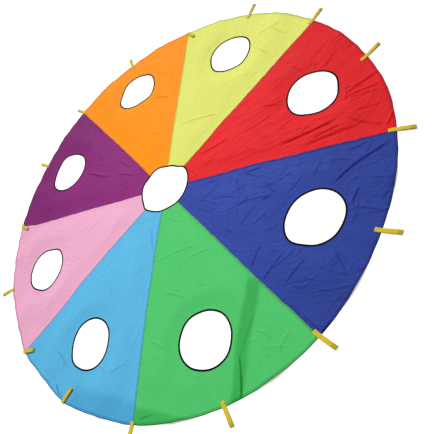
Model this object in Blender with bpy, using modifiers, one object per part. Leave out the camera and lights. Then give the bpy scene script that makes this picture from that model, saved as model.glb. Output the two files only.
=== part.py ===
"""Round play parachute, lying on the floor.

Eight fabric panels are sewn edge to edge round an open vent. Each panel has a
round hole, big enough for a head, and every cut edge is bound with black tape.
Sixteen webbing loops are sewn to the hem, one at each seam and one at the
middle of each panel. Each loop folds over at the hem, as the real webbing
does, so its sewn end and its free loop are two pieces with a fold line between.

Metres, +Z up. The canopy's centre is over the origin, and the floor is z = 0.
"""

import math

import bmesh
import bpy
from mathutils import Matrix, Vector

# Canopy
PANEL_COUNT = 8
canopy_radius = 1.5
vent_radius = 0.19
hole_radius = 0.17
hole_to_rim = 0.19
fabric = 0.0005
hem_width = 0.014
fell_width = 0.010
fell_rise = 0.0006

# Binding tape round the vent and the holes
tape = 0.0006
binding_width = 0.008
binding_margin = 0.004

# Webbing handles
strap_width = 0.025
strap_ply = 0.0015
sewn_length = 0.022
sewn_step = 0.002
loop_reach = 0.105
loop_opening_run = 0.014
hinge_rise = 0.00045
strap_margin = 0.0025

# How the cloth lies: the height of its swells, half the depth between them as
# a share of it, and how far they keep from the handles, the seams, the vent
# and the holes
swell_height = 0.009
swell_dip_share = 0.12
rim_height = 0.007
swell_length = 0.46
flat_at_handle = 0.14
free_of_handle = 0.30
seam_release = 0.17
vent_release = 0.24
hole_release = 0.11
rim_release = 0.20

# Fits
clearance = 0.0003
weld = 0.00002

# Counts of facets
VENT_SEGMENTS = 4
SEAM_SEGMENTS = 8
RIM_SPAN_SEGMENTS = 4
DRAPE_RINGS = 3
BEND_POINTS = 4
TIP_POINTS = 7

# Worked out from the sizes above
PANEL_ANGLE = 2 * math.pi / PANEL_COUNT
HALF_PANEL = PANEL_ANGLE / 2
hole_place = canopy_radius - hole_to_rim - hole_radius
binding_height = 2 * tape + 2 * clearance + fabric
collar = binding_width + binding_margin
fabric_under = tape + clearance
fabric_top = fabric_under + fabric
seat_height = fabric_top + clearance
sewn_stack = 2 * strap_ply
hinge_height = seat_height + sewn_stack + hinge_rise
folded_rest = fabric_top + fell_rise + clearance
loop_height = 2 * hinge_height - folded_rest
loop_split = sewn_length + sewn_step

# Panels clockwise from the red one, which points along +X: the colour, which
# of its two seams carry the felled strip, and the lie of its swells, as the
# direction they run in (degrees) and where they start (share of a swell)
PANELS = [
    ("red", (0.82, 0.035, 0.042), (), 38, 0.15),
    ("navy", (0.042, 0.075, 0.33), ("anticlockwise",), -64, 0.55),
    ("green", (0.085, 0.56, 0.155), ("anticlockwise",), 24, 0.30),
    ("sky", (0.115, 0.49, 0.79), ("anticlockwise",), 52, 0.10),
    ("pink", (0.87, 0.43, 0.62), ("anticlockwise",), -20, 0.45),
    ("purple", (0.24, 0.028, 0.18), ("anticlockwise",), 52, 0.10),
    ("orange", (1.0, 0.34, 0.025), ("anticlockwise",), 24, 0.30),
    ("yellow", (0.75, 0.80, 0.20), ("anticlockwise", "clockwise"), 52, 0.10),
]

# Handles that lie folded over on the canopy, with the slant of the fold line
# in degrees. The others lie straight out on the floor.
FOLDED = {
    "sky": -6,
    "sky_pink": -20,
    "pink_purple": -13,
    "orange_yellow": 21,
}

BLACK = (0.012, 0.012, 0.013)
WEBBING = (0.78, 0.53, 0.03)


def clear_scene():
    for item in list(bpy.data.objects):
        bpy.data.objects.remove(item, do_unlink=True)


def make_collection(name):
    group = bpy.data.collections.new(name)
    bpy.context.scene.collection.children.link(group)
    return group


def make_material(name, colour, roughness):
    material = bpy.data.materials.new(name)
    material.use_nodes = True
    shader = material.node_tree.nodes["Principled BSDF"]
    shader.inputs["Base Color"].default_value = (*colour, 1)
    shader.inputs["Roughness"].default_value = roughness
    shader.inputs["Metallic"].default_value = 0
    return material


def add_mesh(name, mesh, material, group):
    mesh.materials.clear()
    mesh.materials.append(material)
    item = bpy.data.objects.new(name, mesh)
    group.objects.link(item)
    return item


def smooth(value):
    """Ease from 0 to 1 as value does, flat at both ends."""
    value = min(max(value, 0), 1)
    return value * value * (3 - 2 * value)


def polar(radius, angle):
    return Vector((radius * math.cos(angle), radius * math.sin(angle), 0))


# Panels are modelled with their middle along +X and turned into place


def seam_point(along, inset, side):
    """A point beside a seam; side is 1 for the anticlockwise seam, -1 for the other."""
    return Vector((
        along * math.cos(HALF_PANEL) + inset * math.sin(HALF_PANEL),
        side * (along * math.sin(HALF_PANEL) - inset * math.cos(HALF_PANEL)),
        0,
    ))


def rim_angles():
    """Places along the rim between the seams, close on both sides of each handle."""
    beside = math.asin((strap_width / 2 + strap_margin) / canopy_radius)
    first = HALF_PANEL - beside
    step = (first - beside) / RIM_SPAN_SEGMENTS
    right = [-first + step * i for i in range(RIM_SPAN_SEGMENTS + 1)]
    return right + [-angle for angle in reversed(right)]


def seam_stations(start, end):
    step = (end - start) / (SEAM_SEGMENTS - 2)
    return [start + step * i for i in range(SEAM_SEGMENTS - 1)]


def panel_loop(vent_edge, rim_edge, inset):
    """The panel's outline, or one inset from it, anticlockwise from the vent's middle."""
    stations = seam_stations(
        vent_radius + collar + fell_width,
        canopy_radius - sewn_length - sewn_step,
    )
    vent_step = PANEL_ANGLE / VENT_SEGMENTS
    half_vent = range(1, VENT_SEGMENTS // 2)
    along_vent = math.sqrt(vent_edge ** 2 - inset ** 2)
    along_rim = math.sqrt(rim_edge ** 2 - inset ** 2)
    loop = [polar(vent_edge, 0)]
    loop += [polar(vent_edge, -vent_step * i) for i in half_vent]
    loop += [seam_point(along, inset, -1) for along in [along_vent, *stations, along_rim]]
    loop += [polar(rim_edge, angle) for angle in rim_angles()]
    loop += [seam_point(along, inset, 1) for along in [along_rim, *reversed(stations), along_vent]]
    loop += [polar(vent_edge, vent_step * i) for i in reversed(half_vent)]
    return loop


def hole_loop(radius, count):
    """A circle round the panel's hole, from the side next to the vent."""
    centre = Vector((hole_place, 0, 0))
    return [centre + polar(radius, math.pi + 2 * math.pi * i / count) for i in range(count)]


def drape(x, y, direction, phase_share):
    """How far the cloth stands above where it lies flat."""
    radius = math.hypot(x, y)
    angle = math.atan2(y, x)
    from_seam = radius * math.sin(max(HALF_PANEL - abs(angle), 0))
    from_hole = math.hypot(x - hole_place, y) - hole_radius - collar
    from_vent = radius - vent_radius - collar
    keep = smooth(from_seam / seam_release)
    keep *= smooth(from_hole / hole_release)
    keep *= smooth(from_vent / vent_release)
    for turn in (-HALF_PANEL, 0, HALF_PANEL):
        away = (Vector((x, y, 0)) - polar(canopy_radius, turn)).length
        keep *= smooth((away - flat_at_handle) / (free_of_handle - flat_at_handle))
    along = x * math.cos(direction) + y * math.sin(direction)
    wave = math.sin(2 * math.pi * (along / swell_length + phase_share))
    near_rim = smooth((radius - canopy_radius + rim_release) / rim_release)
    height = swell_height + (rim_height - swell_height) * near_rim
    dip_share = swell_dip_share * (1 - near_rim)
    return height * keep * (1 - dip_share + dip_share * wave)


def faces_on(bm, height, keep):
    """Flat faces at one height whose middle passes a test."""
    return [
        face for face in bm.faces
        if abs(face.normal.z) > 0.5
        and abs(face.calc_center_median().z - height) < weld
        and keep(face.calc_center_median())
    ]


def thicken(bm, faces, lift):
    """Push faces up or down, with walls round them."""
    grown = bmesh.ops.extrude_face_region(bm, geom=faces)
    bmesh.ops.delete(bm, geom=faces, context="FACES_ONLY")
    moved = [item for item in grown["geom"] if isinstance(item, bmesh.types.BMVert)]
    bmesh.ops.translate(bm, verts=moved, vec=(0, 0, lift))
    bmesh.ops.recalc_face_normals(bm, faces=bm.faces[:])


def on_hem(point):
    """Inside the turned hem, between the last two loops at the rim."""
    beside = math.atan2(abs(point.y), point.x)
    return point.length > canopy_radius - hem_width and beside < HALF_PANEL


def on_fell(point, sides):
    """Inside the felled strip beside a seam that this panel carries."""
    start = vent_radius + collar + fell_width
    end = canopy_radius - sewn_length - sewn_step
    for side in sides:
        turn = HALF_PANEL if side == "anticlockwise" else -HALF_PANEL
        along = point.dot(polar(1, turn))
        beside = abs(point.cross(polar(1, turn)).z)
        if start < along < end and beside < fell_width:
            return True
    return False


def panel_mesh(name, fell_sides, direction, phase_share):
    """A sheet lofted from its hole to its outline, hemmed and felled flat, then draped."""
    outline = panel_loop(vent_radius, canopy_radius, clearance / 2)
    inset = panel_loop(vent_radius + collar, canopy_radius - hem_width, fell_width)
    count = len(outline)
    lip = hole_loop(hole_radius + collar, count)
    loops = [hole_loop(hole_radius, count), lip]
    for ring in range(1, DRAPE_RINGS + 1):
        share = ring / (DRAPE_RINGS + 1)
        loops.append([near.lerp(far, share) for near, far in zip(lip, inset)])
    loops += [inset, outline]

    bm = bmesh.new()
    rings = [[bm.verts.new(point) for point in loop] for loop in loops]
    for near, far in zip(rings, rings[1:]):
        for i in range(count):
            j = (i + 1) % count
            bm.faces.new((near[i], far[i], far[j], near[j]))
    bmesh.ops.triangulate(bm, faces=bm.faces[:])
    bmesh.ops.translate(bm, verts=bm.verts[:], vec=(0, 0, fabric_under))
    sheet = bm.faces[:]
    raised = bmesh.ops.extrude_face_region(bm, geom=sheet, use_keep_orig=True)
    top = [item for item in raised["geom"] if isinstance(item, bmesh.types.BMVert)]
    bmesh.ops.translate(bm, verts=top, vec=(0, 0, fabric))
    bmesh.ops.recalc_face_normals(bm, faces=bm.faces[:])

    thicken(bm, faces_on(bm, fabric_under, on_hem), -fabric_under)
    if fell_sides:
        felled = faces_on(bm, fabric_top, lambda point: on_fell(point, fell_sides))
        thicken(bm, felled, fell_rise)
    for vert in bm.verts:
        vert.co.z += drape(vert.co.x, vert.co.y, direction, phase_share)

    mesh = bpy.data.meshes.new(name)
    bm.to_mesh(mesh)
    bm.free()
    return mesh, count


def binding_ring(name, radius, steps, material, group):
    """Tape folded over a cut edge: a C section turned round the hole."""
    groove = radius - clearance
    inner = groove - tape
    outer = inner + binding_width
    profile = [
        (inner, binding_height),
        (outer, binding_height),
        (outer, binding_height - tape),
        (groove, binding_height - tape),
        (groove, tape),
        (outer, tape),
        (outer, 0),
        (inner, 0),
    ]
    count = len(profile)
    mesh = bpy.data.meshes.new(name)
    mesh.from_pydata(
        [(x, 0, z) for x, z in profile],
        [(i, (i + 1) % count) for i in range(count)],
        [],
    )
    ring = add_mesh(name, mesh, material, group)
    turn = ring.modifiers.new("turn", "SCREW")
    turn.axis = "Z"
    turn.angle = 2 * math.pi
    turn.steps = steps
    turn.render_steps = steps
    turn.use_merge_vertices = True
    turn.merge_threshold = weld
    turn.use_smooth_shade = False
    return ring


def extruded_outline(name, outlines, width):
    """A flat outline, with any opening in it, given a width and made one closed mesh."""
    curve = bpy.data.curves.new(name, "CURVE")
    curve.dimensions = "2D"
    curve.fill_mode = "BOTH"
    curve.extrude = width / 2
    for outline in outlines:
        spline = curve.splines.new("POLY")
        spline.points.add(len(outline) - 1)
        spline.use_cyclic_u = True
        for point, (x, y) in zip(spline.points, outline):
            point.co = (x, y, 0, 1)
    holder = bpy.data.objects.new(name + "_outline", curve)
    bpy.context.scene.collection.objects.link(holder)
    bpy.context.view_layer.update()
    graph = bpy.context.evaluated_depsgraph_get()
    mesh = bpy.data.meshes.new_from_object(holder.evaluated_get(graph))
    bpy.data.objects.remove(holder, do_unlink=True)
    mesh.name = name
    bm = bmesh.new()
    bm.from_mesh(mesh)
    bmesh.ops.remove_doubles(bm, verts=bm.verts[:], dist=weld)
    bmesh.ops.recalc_face_normals(bm, faces=bm.faces[:])
    bm.to_mesh(mesh)
    bm.free()
    return mesh


def slant_end(mesh, place, slant):
    """Cut the end at one place along the fold line, by moving its corners."""
    for vert in mesh.vertices:
        if abs(vert.co.x - place) < weld:
            vert.co.x += vert.co.z * math.tan(slant)


# A strap is drawn from the side, x outwards from the fold line and y up from it


def ply_path(start, end, tip_centre, tip_radius):
    """One side of the loop: along the stack, apart, and round to the tip's middle."""
    path = []
    for i in range(BEND_POINTS + 1):
        share = i / BEND_POINTS
        path.append((
            loop_split + loop_opening_run * share,
            start + (end - start) * smooth(share),
        ))
    turn = math.copysign(1, end - tip_centre[1])
    for i in range(TIP_POINTS // 2 + 1):
        angle = math.pi / 2 * (1 - i / (TIP_POINTS // 2 + 1))
        path.append((
            tip_centre[0] + tip_radius * math.cos(angle),
            tip_centre[1] + turn * tip_radius * math.sin(angle),
        ))
    return path


def loop_mesh(name, slant):
    """The free loop of a handle: two plies side by side, then apart round a finger gap."""
    floor = -hinge_height
    stack_low = seat_height - hinge_height
    stack_high = stack_low + sewn_stack
    middle = stack_low + strap_ply
    tip_centre = (loop_reach - loop_height / 2, floor + loop_height / 2)
    root = clearance / 2
    lower = ply_path(stack_low, floor, tip_centre, loop_height / 2)
    upper = ply_path(stack_high, floor + loop_height, tip_centre, loop_height / 2)
    tip = (loop_reach, tip_centre[1])
    outside = [(root, stack_low), *lower, tip, *reversed(upper), (root, stack_high)]
    inner_radius = loop_height / 2 - strap_ply
    inner_low = ply_path(middle, floor + strap_ply, tip_centre, inner_radius)
    inner_high = ply_path(middle, floor + loop_height - strap_ply, tip_centre, inner_radius)
    inner_tip = (loop_reach - strap_ply, tip_centre[1])
    gap = [*inner_low, inner_tip, *reversed(inner_high[1:])]
    mesh = extruded_outline(name, [outside, gap], strap_width)
    slant_end(mesh, root, slant)
    return mesh


def sewn_end_mesh(name, slant):
    """The two cut ends of the webbing on the hem, the lower one a little longer."""
    low = seat_height - hinge_height
    high = low + sewn_stack
    outer = -clearance / 2
    inner = -sewn_length
    outline = [
        (outer, low),
        (outer, high),
        (inner + sewn_step, high),
        (inner + sewn_step, low + strap_ply),
        (inner, low + strap_ply),
        (inner, low),
    ]
    mesh = extruded_outline(name, [outline], strap_width)
    slant_end(mesh, outer, slant)
    return mesh


def strap_frame(azimuth):
    """Stand a strap's drawing at the rim: x outwards, y up, z clockwise along the hem."""
    outward = polar(1, azimuth)
    upward = Vector((0, 0, 1))
    clockwise = outward.cross(upward)
    turn = Matrix((outward, upward, clockwise)).transposed().to_4x4()
    place = polar(canopy_radius, azimuth) + Vector((0, 0, hinge_height))
    return Matrix.Translation(place) @ turn


def build_handle(place, azimuth, material, group):
    slant = math.radians(FOLDED.get(place, 0))
    fold = math.pi if place in FOLDED else 0
    frame = strap_frame(azimuth)
    end_name = "handle_end_" + place
    sewn_end = add_mesh(end_name, sewn_end_mesh(end_name, slant), material, group)
    sewn_end.matrix_world = frame
    loop_name = "handle_loop_" + place
    loop = add_mesh(loop_name, loop_mesh(loop_name, slant), material, group)
    fold_line = Vector((math.sin(slant), 0, math.cos(slant)))
    loop.matrix_world = frame @ Matrix.Rotation(fold, 4, fold_line)


def build_panel(index, group, black):
    colour_name, colour, fell_sides, direction, phase_share = PANELS[index]
    azimuth = -index * PANEL_ANGLE
    name = "panel_" + colour_name
    mesh, count = panel_mesh(name, fell_sides, math.radians(direction), phase_share)
    panel = add_mesh(name, mesh, make_material(name, colour, 0.55), group)
    panel.rotation_euler = (0, 0, azimuth)
    ring = binding_ring("hole_binding_" + colour_name, hole_radius, count, black, group)
    ring.location = polar(hole_place, azimuth)
    ring.rotation_euler = (0, 0, azimuth + math.pi)


def build():
    clear_scene()
    group = make_collection("play_parachute")
    black = make_material("binding_tape", BLACK, 0.7)
    webbing = make_material("webbing", WEBBING, 0.65)
    for index in range(PANEL_COUNT):
        build_panel(index, group, black)
    binding_ring("vent_binding", vent_radius, PANEL_COUNT * VENT_SEGMENTS, black, group)
    for index in range(PANEL_COUNT):
        colour = PANELS[index][0]
        following = PANELS[(index + 1) % PANEL_COUNT][0]
        azimuth = -index * PANEL_ANGLE
        build_handle(colour, azimuth, webbing, group)
        build_handle(colour + "_" + following, azimuth - HALF_PANEL, webbing, group)


build()
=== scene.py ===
"""Dress a round play parachute: sewn panels, bound holes, stitches and webbing handles.

The canopy lies on the floor. Its panels are sheets of taffeta with creases from
handling, a turned hem and felled seams. All lengths are in metres.
"""

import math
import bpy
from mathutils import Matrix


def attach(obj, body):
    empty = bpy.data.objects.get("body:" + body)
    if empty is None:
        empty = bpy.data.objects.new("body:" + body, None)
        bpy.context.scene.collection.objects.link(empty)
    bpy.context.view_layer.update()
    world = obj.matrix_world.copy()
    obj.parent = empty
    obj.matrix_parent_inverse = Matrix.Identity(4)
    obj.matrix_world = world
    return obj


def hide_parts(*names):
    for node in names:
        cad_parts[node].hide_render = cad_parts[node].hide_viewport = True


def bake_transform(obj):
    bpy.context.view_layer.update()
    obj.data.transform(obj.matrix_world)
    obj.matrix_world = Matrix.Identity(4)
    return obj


bl_info = {
    "name": "Play Parachute",
    "version": (1, 0, 0),
    "blender": (4, 5, 0),
    "location": "3D View > Sidebar > Parachute",
    "description": "Dresses a round play parachute in sewn cloth, bound holes and webbing handles",
    "category": "Object",
}

import bpy
import numpy as np
from bpy.props import FloatProperty, FloatVectorProperty, PointerProperty
from mathutils import Matrix, Vector
from mathutils.geometry import delaunay_2d_cdt

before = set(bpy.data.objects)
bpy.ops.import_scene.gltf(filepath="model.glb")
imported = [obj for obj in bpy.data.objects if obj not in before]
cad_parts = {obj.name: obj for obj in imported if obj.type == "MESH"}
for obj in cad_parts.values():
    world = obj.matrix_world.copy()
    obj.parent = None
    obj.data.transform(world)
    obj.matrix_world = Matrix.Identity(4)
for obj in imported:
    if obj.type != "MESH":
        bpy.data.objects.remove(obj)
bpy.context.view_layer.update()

MM = 0.001
WHITE = (1, 1, 1, 1)
PANEL_COUNT = 8
PANEL_ANGLE = math.radians(45)
HALF_PANEL = PANEL_ANGLE / 2
SEAM_SINE = math.sin(HALF_PANEL)
SEAM_COSINE = math.cos(HALF_PANEL)
HANDLE_TURNS = (-HALF_PANEL, 0, HALF_PANEL)

# Sizes of the solid model
CANOPY_RADIUS = 1.5
VENT_RADIUS = 0.19
HOLE_RADIUS = 0.17
HOLE_PLACE = 1.14
CLEARANCE = 0.0003
FABRIC_MIDDLE = 0.00115
HEM_WIDTH = 0.014
HEM_RADIUS = CANOPY_RADIUS - HEM_WIDTH
FELL_WIDTH = 0.010
BINDING_HEIGHT = 0.0023
COLLAR = 0.012
SWELL_HEIGHT = 0.009
SWELL_DIP = 0.12
RIM_HEIGHT = 0.007
SWELL_LENGTH = 0.46
STRAP_WIDTH = 0.025
STRAP_PLY = 0.0015
SEAT_HEIGHT = 0.0017
HINGE_HEIGHT = 0.00515
SEWN_LENGTH = 0.022
LOOP_REACH = 0.105
LOWER_PLY = SEAT_HEIGHT + STRAP_PLY / 2
UPPER_PLY = SEAT_HEIGHT + STRAP_PLY * 1.5

# Sizes that only the scene has
HEM_RISE = 0.00012
FELL_RISE = 0.00048
FELL_STEP = 0.0006
CREASE_LIMIT = 0.009
FOLD_LINE_WIDTH = 0.006
BEND_REACH = 0.003
LINE_STEP = 0.004
SEAM_STITCHES = 0.0022
TAPE_STITCHES = 0.0055
TAPE_PITCH = 0.004
THREAD_WIDTH = 0.0004
HANDLE_THREAD_WIDTH = 0.0005
HANDLE_PITCH = 0.003

# The camera's place, and its right, up and back
CAMERA_PLACE = (1.07475, -2.22223, 2.15378)
CAMERA_AXES = ((0.81780, -0.25944, -0.51371), (0.50637, 0.74858, 0.42805), (0.27350, -0.61018, 0.74356))

# The hem's turned edge: how far outside the rim, and how far above the cloth
TURNED_HEM = (
    (0.00035, -0.00045), (0.0, -0.0009), (-0.005, -0.0009), (-0.0095, -0.0009), (-HEM_WIDTH, -0.0009),
)

# Panels clockwise from the red one: colour, which seams carry the felled strip
# (1 clockwise, -1 anticlockwise), the direction and start of the swells, how
# much darker the cloth is near the rim, and how cloudy it is
PANELS = [
    ("red", (0.79, 0.020, 0.026), (), 38, 0.15, 0.12, 0.15),
    ("navy", (0.036, 0.068, 0.365), (-1,), -64, 0.55, 0.22, 0.30),
    ("green", (0.085, 0.57, 0.155), (-1,), 24, 0.30, 0.06, 0.07),
    ("sky", (0.112, 0.485, 0.78), (-1,), 52, 0.10, 0.08, 0.10),
    ("pink", (0.87, 0.425, 0.61), (-1,), -20, 0.45, 0.07, 0.07),
    ("purple", (0.268, 0.026, 0.200), (-1,), 52, 0.10, 0.20, 0.12),
    ("orange", (1.0, 0.300, 0.003), (-1,), 24, 0.30, 0.03, 0.07),
    ("yellow", (0.75, 0.795, 0.165), (-1, 1), 52, 0.10, 0.02, 0.07),
]
NAMES = [panel[0] for panel in PANELS]

# How far each hole's edge lies outside its circle, in mm, every 30 degrees from
# outwards to clockwise
HOLES = {
    "red": (-2, -2, 15, 9, -4, -2, -9, -15, -11, -11, -17, -10),
    "navy": (-3, -2, -6, -9, 7, 0, -11, -12, -10, -1, 5, 5),
    "green": (-9, -7, 3, 7, 3, 2, -12, -16, -13, -17, -19, -11),
    "sky": (-31, -23, -24, -12, 5, 7, 3, -6, -20, -20, -21, -28),
    "pink": (-14, -20, -17, -19, -25, -12, -10, -3, 4, 14, 0, -4),
    "purple": (-2, 12, -10, -20, -16, -16, -10, -1, 6, 14, 21, 2),
    "orange": (5, -11, -11, -20, -18, -8, -23, -14, 8, 25, 12, 22),
    "yellow": (-13, -9, -14, -16, -9, -20, -18, -7, -6, 4, 5, -8),
}

# The same for the vent, every 20 degrees clockwise from the middle of the red panel
VENT = (-10, -17, -20, -21, -24, -27, -18, -10, 10, 6, 14, 25, 16, 21, -1, -14, -19, -4)

# The same for the rim, at each handle and halfway to the next, from the red handle
RIM = (
    22, 29, 23, 21, 14, 17, 19, 16, 10, 0, -4, -17, -3, -25, -3, -22,
    -3, -16, -3, -9, 0, 4, 16, 17, 12, 6, 4, 5, 17, 21, 18, 20,
)

# How far each seam strays clockwise from its straight line, in mm, by radius. The
# key is the panel on its anticlockwise side.
SEAM_STRAYS = {
    "red": ((0.2, -2), (0.4, 0), (0.68, -7), (0.92, 4), (1.2, 4), (1.45, 4)),
    "navy": ((0.2, 12), (0.45, 10), (1.05, 13), (1.2, 9), (1.35, 1), (1.45, 1)),
    "green": ((0.2, 6), (0.35, 13), (0.6, 12), (0.85, 15), (1.05, 9), (1.25, 3), (1.45, -3)),
    "sky": ((0.2, 14), (0.35, 19), (0.6, 22), (0.88, 18), (1.08, 0), (1.25, -5), (1.45, -6)),
    "pink": ((0.2, -2), (0.45, -10), (0.65, -11), (0.9, -17), (1.1, -24), (1.3, -25), (1.46, -7)),
    "purple": ((0.2, -15), (0.5, -12), (0.75, -12), (1.1, -16), (1.3, -11), (1.45, -6)),
    "orange": ((0.2, -14), (0.45, -14), (0.8, -8), (1.15, -2), (1.4, 0)),
    "yellow": ((0.2, -11), (0.4, -6), (0.58, -10), (0.78, 0), (1.1, 7), (1.3, 4), (1.45, 4)),
}

# Creases that stand out: start and end, as outwards and clockwise, and height in
# mm, which is below 0 for a furrow
CREASES = {
    "red": (
        (1.49, 0.155, 1.28, 0.175, 5), (1.47, 0.246, 1.26, 0.19, 5), (1.40, 0.183, 1.30, 0.12, 4),
        (1.32, 0.12, 1.27, 0.21, 4), (1.45, 0.44, 1.34, 0.53, 4), (1.47, 0.31, 1.35, 0.23, 3),
        (1.41, 0.365, 1.27, 0.31, 3),
        (1.20, 0.308, 0.80, 0.236, -6), (1.27, 0.430, 0.93, 0.340, -6), (1.19, 0.36, 1.00, 0.335, -4),
        (1.37, 0.510, 1.22, 0.300, 4), (1.40, 0.256, 1.293, 0.207, 3), (0.947, -0.05, 0.818, -0.149, 4),
        (0.888, -0.03, 0.63, -0.03, 3), (0.561, -0.064, 0.304, -0.096, 4), (1.48, 0.068, 1.363, -0.08, 3),
        (1.175, -0.209, 1.125, -0.308, 3), (1.38, -0.18, 1.29, -0.13, 3), (0.967, 0.108, 0.868, 0.118, 3),
        (0.274, 0.078, 0.225, -0.03, 2), (0.66, 0.13, 0.42, 0.06, 2),
    ),
    "navy": (
        (1.37, 0.566, 1.12, 0.458, 4), (1.383, -0.525, 1.165, -0.189, 5),
        (1.303, -0.525, 1.155, -0.417, 3), (1.234, -0.367, 1.076, -0.347, 3),
        (1.323, -0.219, 1.313, -0.10, 4), (1.47, -0.298, 1.36, -0.278, 3), (1.47, -0.11, 1.34, -0.10, 3),
        (1.41, 0.256, 1.303, 0.147, 3), (1.47, 0.286, 1.284, 0.385, 2), (1.19, 0.217, 1.125, 0.395, 3),
        (1.056, 0.217, 0.987, 0.434, 3), (0.898, 0.197, 0.898, 0.375, 3), (0.957, 0.078, 0.868, 0.147, 2),
        (0.868, -0.09, 0.729, -0.179, 3), (0.74, -0.175, 0.571, -0.189, 3), (0.868, -0.08, 0.69, -0.02, 3),
        (0.70, -0.02, 0.59, 0.02, 2), (0.69, -0.258, 0.571, -0.189, 4), (0.482, -0.179, 0.512, -0.08, 2),
        (0.571, 0.04, 0.65, 0.256, 2), (0.51, 0.068, 0.353, 0.058, 2), (0.50, 0.09, 0.34, 0.085, 2),
        (0.49, 0.045, 0.33, 0.03, 2), (0.413, -0.149, 0.235, -0.03, 2),
    ),
    "green": (
        (1.303, -0.456, 1.373, -0.357, 2), (0.63, -0.199, 0.61, -0.02, 2), (0.571, -0.14, 0.512, 0.197, 2),
        (0.33, -0.03, 0.25, 0.06, 2), (0.967, -0.11, 0.888, -0.10, 2), (1.49, -0.09, 1.38, -0.13, 3),
        (0.86, 0.05, 0.74, 0.19, 2), (1.10, 0.24, 0.98, 0.36, 2),
    ),
    "sky": (
        (0.50, -0.20, 0.28, -0.02, 3), (1.12, 0.22, 1.05, 0.34, 2), (0.86, -0.05, 0.70, 0.10, 2),
        (1.33, 0.12, 1.25, 0.26, 3), (1.22, -0.25, 1.10, -0.36, 2),
    ),
    "pink": (
        (0.927, -0.07, 0.809, -0.07, 2), (0.72, 0.05, 0.55, 0.12, 2), (1.30, 0.20, 1.21, 0.36, 2),
        (1.26, -0.22, 1.16, -0.40, 2), (0.50, -0.05, 0.36, 0.02, 2),
    ),
    "purple": (
        (0.908, 0.0, 0.63, 0.0, 4), (0.868, 0.177, 0.79, 0.138, 3), (0.591, 0.167, 0.433, 0.118, 3),
        (0.551, 0.04, 0.353, 0.068, 3), (1.442, -0.179, 1.373, -0.02, 3), (1.155, -0.377, 1.145, -0.30, 3),
    ),
    "orange": (
        (1.175, 0.236, 1.076, 0.325, 2), (0.947, 0.078, 0.809, 0.256, 3), (0.571, 0.0, 0.512, 0.118, 2),
        (1.44, 0.20, 1.33, 0.30, 2), (1.20, -0.24, 1.05, -0.36, 2),
    ),
    "yellow": (
        (1.303, 0.157, 1.412, 0.316, 3), (1.373, 0.236, 1.293, 0.424, 3), (1.204, 0.197, 1.115, 0.355, 3),
        (0.492, -0.179, 0.62, 0.177, 3), (0.927, 0.0, 0.83, 0.16, 2), (1.32, -0.51, 1.165, -0.20, 2),
        (1.22, -0.44, 1.08, -0.26, 2),
    ),
}

# Small creases: how many, the way most of them run (degrees from outwards to
# clockwise), how far they stray from it, the greatest length, and how high
LOOSE_CREASES = {
    "red": (130, 15, 26, 0.30, 1.4),
    "navy": (130, -52, 32, 0.22, 1.5),
    "green": (50, -20, 60, 0.16, 1.0),
    "sky": (40, 40, 60, 0.16, 1.1),
    "pink": (50, 30, 50, 0.20, 1.1),
    "purple": (64, 0, 40, 0.24, 1.1),
    "orange": (60, -50, 45, 0.22, 0.9),
    "yellow": (60, 60, 45, 0.24, 0.9),
}

# Places where the cloth lies doubled, raised a little and darkened with painted shade: corners, softness of
# the edge, how dark
TUCKS = {
    "green": (
        (((1.52, -0.080), (1.15, -0.315), (0.99, -0.41), (0.92, -0.355), (1.52, -0.015)), 0.035, 1.0),
        (((1.60, 0.30), (1.485, 0.225), (1.30, 0.535), (1.45, 0.70)), 0.03, 0.75),
    ),
    "sky": ((((1.56, -0.66), (1.27, -0.53), (1.40, -0.05), (1.56, -0.02)), 0.07, 0.6),),
}

# Sharp folds, drawn as thin lines of painted shade: start, end and how dark
FOLD_LINES = {
    "green": (
        (1.33, -0.155, 1.505, -0.090, 2.4), (1.16, -0.300, 1.33, -0.155, 0.7),
        (1.381, 0.447, 1.37, 0.520, 1.4),
    ),
    "sky": ((1.448, 0.123, 1.478, 0.070, 2.6), (1.475, 0.078, 1.478, 0.030, 1.4)),
    "navy": ((1.285, 0.513, 1.371, 0.543, 1.2), (1.39, 0.544, 1.407, 0.50, 1.8)),
}

# Seam threads that show up against the cloth: side and colour
THREAD_LINES = {"green": ((-1, (0.17, 0.34, 0.07)),)}

# Handles that lie folded over on the canopy: the slant of the fold line in degrees
FOLDED = {
    "sky": -6,
    "sky_pink": -20,
    "pink_purple": -13,
    "orange_yellow": 21,
}

# How far other handles lean clockwise, in degrees
LEANS = {
    "yellow_red": -6, "red": -16, "red_navy": 9, "navy": -6, "navy_green": -8, "green": -8,
    "green_sky": 10, "pink": 4, "purple": 4, "purple_orange": -13, "orange": -3, "yellow": 0,
}

# How far handles, and the seams under them, lie clockwise of their even places, in mm
SLIDES = {
    "yellow_red": 11, "red": 10, "red_navy": 8, "navy": 6, "navy_green": 8, "green": 8,
    "purple": -8, "purple_orange": -12, "pink_purple": -5,
}


def number_property(name, description, default, low, high, **kind):
    return FloatProperty(name=name, description=description, default=default, min=low, max=high, **kind)


def colour_property(name, description, default):
    return FloatVectorProperty(
        name=name, description=description, default=default, size=3, min=0, max=1, subtype="COLOR",
    )


class PanelSettings(bpy.types.PropertyGroup):
    """Cloth of the canopy."""

    thickness: number_property("Thickness", "Of the taffeta", 0.00035, 0.0001, 0.0005, unit="LENGTH")
    grain: number_property("Mesh size", "From point to point", 0.0052, 0.004, 0.02, unit="LENGTH")
    crease: number_property("Creases", "Share of the main creases' height", 1.0, 0, 1.2, subtype="FACTOR")
    loose_crease: number_property("Small creases", "Height of small creases", 0.0018, 0, 0.003, unit="LENGTH")
    roughness: number_property("Roughness", "Roughness of the taffeta", 0.52, 0, 1, subtype="FACTOR")


class ColourSettings(bpy.types.PropertyGroup):
    """Colours of the panels."""


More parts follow.
